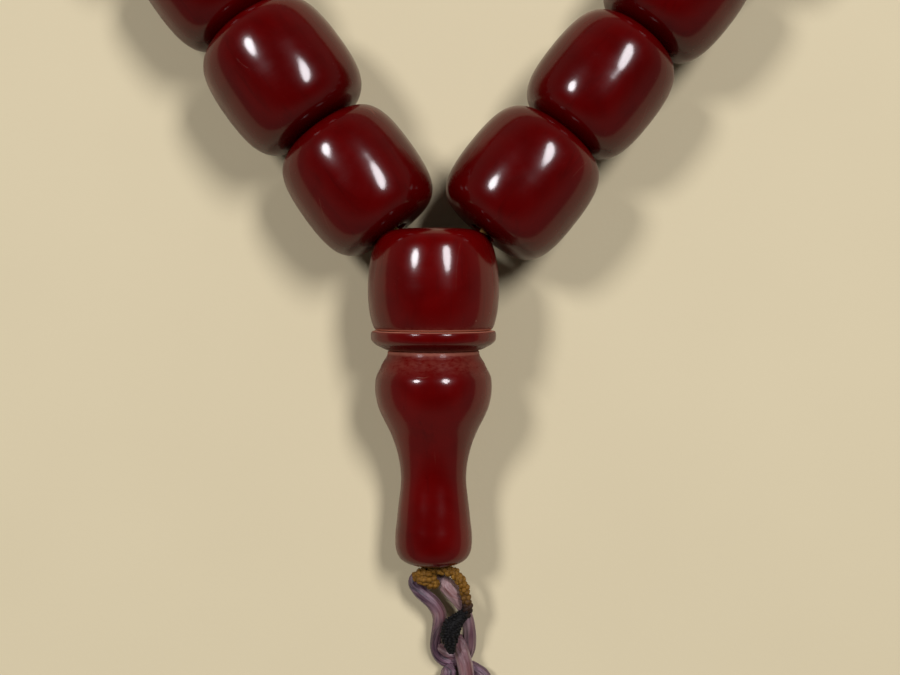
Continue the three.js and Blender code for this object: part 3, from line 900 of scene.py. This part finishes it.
# A turn of the thread is how far it is tilted and where on it the first bulge lies.
LOBE_TURNS = [(0.2, 0.3), (1.15, 1.2), (2.1, 2.3), (2.8, 0.9), (0.9, 2.9)]
LOBE_SPACING = 0.85
for middle, radii in LOBES:
    middle, radii = beside_leader(*middle), np.array(radii)
    for tilt, spin in LOBE_TURNS:
        step = LOBE_SPACING / radii.mean()
        for angle in np.arange(spin, spin + 2 * np.pi, step) + draw.uniform(-0.1, 0.1):
            cos, sin = math.cos(angle), math.sin(angle)
            ring = np.array([cos, sin * math.cos(tilt), sin * math.sin(tilt)])
            ahead = np.array([-sin, cos * math.cos(tilt), cos * math.sin(tilt)])
            place = middle + ring * radii * draw.uniform(0.80, 1.05)
            size = (draw.uniform(0.42, 0.72), draw.uniform(0.36, 0.52))
            add_granule(shape, place, ahead * radii, size, draw, 0.0, draw.uniform(0, 9))
    core = np.array([middle + [x, 0, 0] for x in np.linspace(-radii[0], radii[0], 12)])
    core_radius = radii[1] * np.sqrt(np.clip(1 - np.linspace(-0.95, 0.95, 12) ** 2, 0.05, 1))
    add_tube(shape, core, core_radius, 14, burnt=np.zeros(12))
thread_knot = shape.build("knotted_thread", KNOT_THREAD, "leader")
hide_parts("thread_knot")

# The burnt end: the thread's tip, melted to a rough black bead and a point.
BURNT_ROUTE = [
    (5.1, -52.3, 5.5), (4.1, -53.2, 5.9), (3.0, -54.4, 6.1), (2.6, -55.6, 6.0),
    (2.7, -56.9, 5.9), (2.9, -58.5, 5.6),
]
BURNT_RADII = [0.8, 1.1, 1.6, 1.6, 1.15, 0.4]
burnt = route_beside(BURNT_ROUTE, KNOT_STEP)
burnt_share = np.linspace(0, 1, len(burnt))
burnt_radius = np.interp(burnt_share, np.linspace(0, 1, len(BURNT_RADII)), BURNT_RADII)
shape = Shape()
add_tube(shape, burnt, burnt_radius * BURNT_CORE, 18, burnt=np.ones(len(burnt)))
_, across, over = direction_frames(burnt)
for k in range(0, len(burnt), 2):
    count = max(5, int(burnt_radius[k] * 8))
    for turn in np.linspace(0, 2 * np.pi, count, endpoint=False) + draw.uniform(0, 1):
        out = across[k] * math.cos(turn) + over[k] * math.sin(turn)
        place = burnt[k] + out * burnt_radius[k] * 0.84 + draw.normal(scale=0.05, size=3)
        size = (draw.uniform(0.24, 0.40), draw.uniform(0.20, 0.32))
        wind, char = draw.normal(size=3), draw.uniform(0.85, 1.1)
        add_granule(shape, place, wind, size, draw, char, draw.uniform(0, 9))
burnt_end = shape.build("burnt_thread", KNOT_THREAD, "leader")
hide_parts("burnt_thread_end")

# The purple cord: a round loop through the thread knot, then a chain of loops.
# A point is (across, along, height, how faded it is, thickness as a share).
TAIL_START = [
    (2.3, -47.8, 4.4, 1.0, 0.9), (0.6, -46.8, 4.1, 0.6, 0.8), (-1.5, -46.7, 3.7, 0.1, 0.8),
    (-3.0, -46.9, 3.6, 0.0, 0.75), (-3.25, -47.7, 3.6, 0.0, 0.8), (-2.5, -48.8, 3.7, 0.0, 0.95),
    (-1.35, -49.85, 3.7, 0.05, 0.98), (-0.05, -51.05, 3.5, 0.2, 1.0),
    (0.8, -52.55, 3.1, 0.3, 1.0), (0.95, -54.05, 2.7, 0.2, 0.95), (0.65, -55.6, 2.3, 0.2, 0.85),
    (0.4, -57.1, 1.8, 0.15, 0.8), (0.4, -58.5, 1.4, 0.0, 0.85), (0.9, -59.75, 1.15, 0.0, 0.9),
    (1.9, -60.6, 1.1, 0.0, 0.95), (3.35, -60.8, 1.1, 0.0, 0.95), (4.8, -60.2, 1.15, 0.1, 0.95),
    (5.6, -58.9, 1.5, 0.2, 0.95), (5.85, -57.35, 2.0, 0.2, 0.95), (5.8, -55.7, 2.5, 0.2, 0.9),
    (5.65, -54.2, 2.9, 0.3, 0.85), (5.1, -52.35, 3.3, 0.5, 0.85), (4.2, -50.7, 3.7, 0.8, 1.0),
    (3.15, -49.2, 4.0, 1.0, 1.2), (2.0, -47.9, 4.3, 1.0, 1.2), (0.9, -46.9, 4.3, 0.8, 1.0),
]
CENTRAL_STRAND = [
    (0.55, -57.3, 1.9, 0.7, 0.6), (1.15, -58.4, 1.8, 0.7, 0.7), (2.25, -59.3, 1.7, 0.5, 0.75),
    (3.6, -60.0, 1.5, 0.2, 0.9), (3.1, -61.5, 1.2, 0.1, 1.0),
]
TOP_STRAND = [
    (4.35, -56.3, 2.3, 0.4, 0.6), (4.4, -57.3, 2.8, 0.5, 0.85), (4.5, -58.4, 3.2, 0.6, 1.0),
    (4.8, -59.75, 3.4, 0.65, 1.07), (5.15, -61.2, 3.4, 0.6, 1.07), (5.4, -62.9, 3.2, 0.5, 1.05),
    (5.5, -64.9, 2.8, 0.3, 1.0),
]
LOWER_LEFT = [
    (2.8, -61.0, 1.6, 0.0, 0.9),
    (2.6, -62.1, 2.1, 0.1, 1.15),
    (2.4, -63.3, 2.1, 0.0, 1.15),
    (2.1, -65.2, 2.0, 0.0, 1.0),
]
RIGHT_LOBE = [
    (4.9, -61.2, 1.3, 0.0, 1.0), (6.8, -62.1, 1.6, 0.0, 1.0), (8.0, -62.9, 1.8, 0.0, 1.0),
    (8.5, -64.3, 1.8, 0.0, 1.0), (7.7, -66.2, 1.7, 0.0, 1.0), (5.4, -67.4, 2.0, 0.0, 1.0),
]
CHAIN_TOP = -64.2
CHAIN_BOTTOM = -121.6
CHAIN_ACROSS = 3.4
CHAIN_PITCH = 7.4
CHAIN_REACH = 2.25
CHAIN_SWAY = 0.5
CHAIN_FADE = 0.12
STRAND_RADIUS = 1.12
STRAND_SIDES = 32
STRAND_STEP = 0.3
STRAND_RIBS = {"ridges": 8, "ridge_share": 0.07}
# One stitch: (across as a share of the reach, along as a share of the pitch, height)
STITCH = [
    (-0.40, 0.00, 3.2), (-0.85, 0.28, 3.3), (-1.00, 0.62, 2.7), (-0.80, 0.98, 2.0),
    (0.00, 1.24, 2.3), (0.80, 0.98, 2.0), (1.00, 0.62, 2.7), (0.85, 0.28, 3.3),
    (0.40, 0.00, 3.2), (0.12, 0.16, 2.0), (0.00, 0.45, 1.2), (-0.10, 0.80, 1.3),
]

low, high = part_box("end_knot")
knot_centre = np.array((low + high) / 2) / MM


def chain_points():
    """The chain of loops, stitch after stitch, down to the end knot."""
    stitches = int((CHAIN_TOP - CHAIN_BOTTOM) / CHAIN_PITCH)
    points = []
    for stitch in range(stitches):
        for across, along, height in STITCH:
            y = CHAIN_TOP - (stitch + along) * CHAIN_PITCH
            if y < CHAIN_BOTTOM + 1.0:
                continue
            sway = CHAIN_SWAY * math.sin(0.11 * (y - CHAIN_TOP))
            x = CHAIN_ACROSS + sway + CHAIN_REACH * across
            points.append((x, y, height, CHAIN_FADE, 1.0))
    across, along, height = seen_from_leader(knot_centre)
    points.append((CHAIN_ACROSS, CHAIN_BOTTOM + 1.5, 3.2, 0.1, 1.0))
    points.append((across, along, height, 0.1, 1.0))
    return points


def add_satin_run(shape, points, seed):
    """One visible run of the satin cord, ribbed lengthwise and rounded off at both ends."""
    points = np.array(points)
    route = route_beside(points[:, :3], STRAND_STEP)
    share = np.linspace(0, 1, len(route))
    at = np.linspace(0, 1, len(points))
    fade, thick = (np.interp(share, at, points[:, k]) for k in (3, 4))
    ends = np.clip(np.minimum(share, 1 - share) * len(route) / 4, 0.35, 1)
    radius = STRAND_RADIUS * thick * np.sqrt(ends)
    add_tube(shape, route, radius, STRAND_SIDES, seed=seed, fade=fade, **STRAND_RIBS)


shape = Shape()
add_satin_run(shape, TAIL_START, 1.0)
add_satin_run(shape, CENTRAL_STRAND, 4.0)
add_satin_run(shape, TOP_STRAND, 8.0)
add_satin_run(shape, LOWER_LEFT, 9.0)
add_satin_run(shape, RIGHT_LOBE, 10.0)
add_satin_run(shape, chain_points(), 12.0)
tail = shape.build("satin_tail", PURPLE_SATIN, "tail")
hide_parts("tail_loop", "tail_chain")

# The end knot: turns of the same cord wound over a ball.
END_KNOT_RADIUS = 4.2
END_KNOT_RIBS = {"ridges": 9, "ridge_share": 0.035}
END_KNOT_SIDES = 22
END_FADE = 0.1
turns = np.linspace(0, 2 * np.pi, 200)
wound = END_KNOT_RADIUS - STRAND_RADIUS - 0.1
slope = 0.5 * np.pi + 0.95 * np.sin(3 * turns)
knot_points = np.stack(
    [np.cos(5 * turns) * np.sin(slope), np.cos(slope), np.sin(5 * turns) * np.sin(slope)],
    axis=1,
)
shape = Shape()
knot_route = resampled(knot_points * wound + knot_centre, STRAND_STEP)
knot_fade = np.full(len(knot_route), END_FADE)
knot_look = {"seed": 20.0, "fade": knot_fade, **END_KNOT_RIBS}
add_tube(shape, knot_route, STRAND_RADIUS, END_KNOT_SIDES, **knot_look)
core = np.array([knot_centre + [0, y, 0] for y in np.linspace(-wound, wound, 12)])
core_radius = wound * np.sqrt(np.clip(1 - np.linspace(-1, 1, 12) ** 2, 0.02, 1))
add_tube(shape, core, core_radius * 0.95, END_KNOT_SIDES, seed=21.0, fade=np.zeros(12))
low, high = (np.array(corner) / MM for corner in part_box("tassel"))
tassel_top = np.array([(low[0] + high[0]) / 2, high[1], (low[2] + high[2]) / 2])
stem = np.linspace(knot_centre, tassel_top - [0.0, 3.0, 0.0], 8)
stem_look = {"seed": 22.0, "fade": np.full(8, END_FADE), **STRAND_RIBS}
add_tube(shape, stem, STRAND_RADIUS, END_KNOT_SIDES, **stem_look)
end_knot = shape.build("satin_end_knot", PURPLE_SATIN, "tassel")
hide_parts("end_knot")

# The tassel: threads bound at the neck, lying on the table.
tassel_length = high[1] - low[1]
half_width = (high[0] - low[0]) / 2
half_height = (high[2] - low[2]) / 2
TASSEL_THREADS = 230
THREAD_RADIUS = 0.3
BINDING_TURNS = 7
BINDING_PITCH = 0.62
BINDING_RADIUS = 0.36
# How far the threads spread, from the tassel's top to its tips.
SPREAD_AT = [0, 0.10, 0.18, 0.5, 1.0]
SPREAD = [0.45, 0.5, 0.55, 0.88, 0.97]
draw = np.random.default_rng(11)
shape = Shape()
for thread in range(TASSEL_THREADS):
    spoke = draw.uniform(0, 2 * np.pi)
    out = math.sqrt(draw.uniform(0.02, 1.0))
    length = tassel_length * draw.uniform(0.93, 1.0) - 0.6
    wave, phase = draw.uniform(0.1, 0.5), draw.uniform(0, 2 * np.pi)
    route = []
    for share in np.linspace(0, 1, 22):
        opened = np.interp(share, SPREAD_AT, SPREAD)
        drift = wave * math.sin(5 * share + phase) * share
        x = tassel_top[0] + (half_width - 0.5) * opened * out * math.cos(spoke) + drift
        z = tassel_top[2] + (half_height - 0.5) * opened * out * math.sin(spoke)
        route.append((x, tassel_top[1] - share * length, max(z, THREAD_RADIUS)))
    route = resampled(np.array(route), 1.6)
    fade = np.full(len(route), draw.uniform(0, 0.25))
    add_tube(shape, route, THREAD_RADIUS, 5, seed=float(thread), fade=fade)
for turn in range(BINDING_TURNS):
    angles = np.linspace(0, 2 * np.pi, 40)
    x = tassel_top[0] + half_width * 0.60 * np.cos(angles)
    z = tassel_top[2] + half_height * 0.66 * np.sin(angles)
    y = tassel_top[1] - 4.0 - BINDING_PITCH * turn - BINDING_PITCH * angles / (2 * np.pi)
    ring = np.stack([x, y, z], axis=1)
    add_tube(shape, ring, BINDING_RADIUS, 8, seed=300.0 + turn, fade=np.full(40, 0.2))
tassel = shape.build("satin_tassel", PURPLE_SATIN, "tassel")
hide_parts("tassel")

# ---- table and lights ----

TABLE_REACH = 3.0
TABLE_DARK = (0.585, 0.518, 0.330)
TABLE_PALE = (0.627, 0.560, 0.360)

m = Material("table")
place = m.local()
tone = m.noise(place, 0.02, 4.0)
m.drive(Base_Color=m.mixed(tone, TABLE_DARK, TABLE_PALE))
m.drive(Normal=m.bump(m.noise(place, 1.4, 4.0), 0.05, 0.3))
m.fixed(Roughness=0.75)
table_mesh = bpy.data.meshes.new("table")
corners = [(-1, -1, 0), (1, -1, 0), (1, 1, 0), (-1, 1, 0)]
table_mesh.from_pydata([Vector(c) * TABLE_REACH for c in corners], [], [(0, 1, 2, 3)])
table_mesh.materials.append(m.material)
table = bpy.data.objects.new("table", table_mesh)
scene.collection.objects.link(table)

LIGHT_DISTANCE = 1600.0
LIGHT_COLOUR = (1.0, 0.96, 1.0)
# A light is its name, its direction from the leader, its width and height in metres, and watts.
LIGHTS = [
    ("light_left", (-0.65, 0.34, 1.0), 0.34, 0.44, 14.0),
    ("light_right", (0.46, 0.37, 1.0), 0.37, 0.72, 19.0),
]
target = beside_leader(0.0, 0.0, STRAND_HEIGHT)


def add_light(name, direction, width, height, power):
    data = bpy.data.lights.new(name, "AREA")
    data.shape = "ELLIPSE"
    data.size, data.size_y = width, height
    data.energy = power
    data.color = LIGHT_COLOUR
    light = bpy.data.objects.new(name, data)
    direction = np.array(direction) / np.linalg.norm(direction)
    place = target + direction * LIGHT_DISTANCE
    light.matrix_world = frame_matrix(place, direction, up=(0.0, 1.0, 0.0))
    scene.collection.objects.link(light)


for light_values in LIGHTS:
    add_light(*light_values)

# The room is dark overhead and a little lighter all round, near the level of the table. On the
# side that the tail points to, the lighter part reaches higher.
ROOM_COLOUR = (1.0, 0.94, 0.84, 1.0)
ROOM_GRADIENT = {"From Min": 0.05, "From Max": 0.75, "To Min": 0.16, "To Max": 0.006}
RISE_TOWARD_FOOT = 0.5

world = bpy.data.worlds.new("room")
world.use_nodes = True
world_nodes, world_links = world.node_tree.nodes, world.node_tree.links
heading = world_nodes.new("ShaderNodeSeparateXYZ")
height = world_nodes.new("ShaderNodeMapRange")
height.interpolation_type = "SMOOTHSTEP"
for socket, value in ROOM_GRADIENT.items():
    height.inputs[socket].default_value = value
world_links.new(world_nodes.new("ShaderNodeTexCoord").outputs["Generated"], heading.inputs[0])
toward_foot = world_nodes.new("ShaderNodeMath")
toward_foot.operation = "MINIMUM"
toward_foot.inputs[1].default_value = 0.0
lowered = world_nodes.new("ShaderNodeMath")
lowered.operation = "MULTIPLY_ADD"
lowered.inputs[1].default_value = RISE_TOWARD_FOOT
world_links.new(heading.outputs["Y"], toward_foot.inputs[0])
world_links.new(toward_foot.outputs[0], lowered.inputs[0])
world_links.new(heading.outputs["Z"], lowered.inputs[2])
world_links.new(lowered.outputs[0], height.inputs["Value"])
world_links.new(height.outputs["Result"], world_nodes["Background"].inputs["Strength"])
world_nodes["Background"].inputs["Color"].default_value = ROOM_COLOUR
scene.world = world
scene.view_settings.view_transform = "Standard"
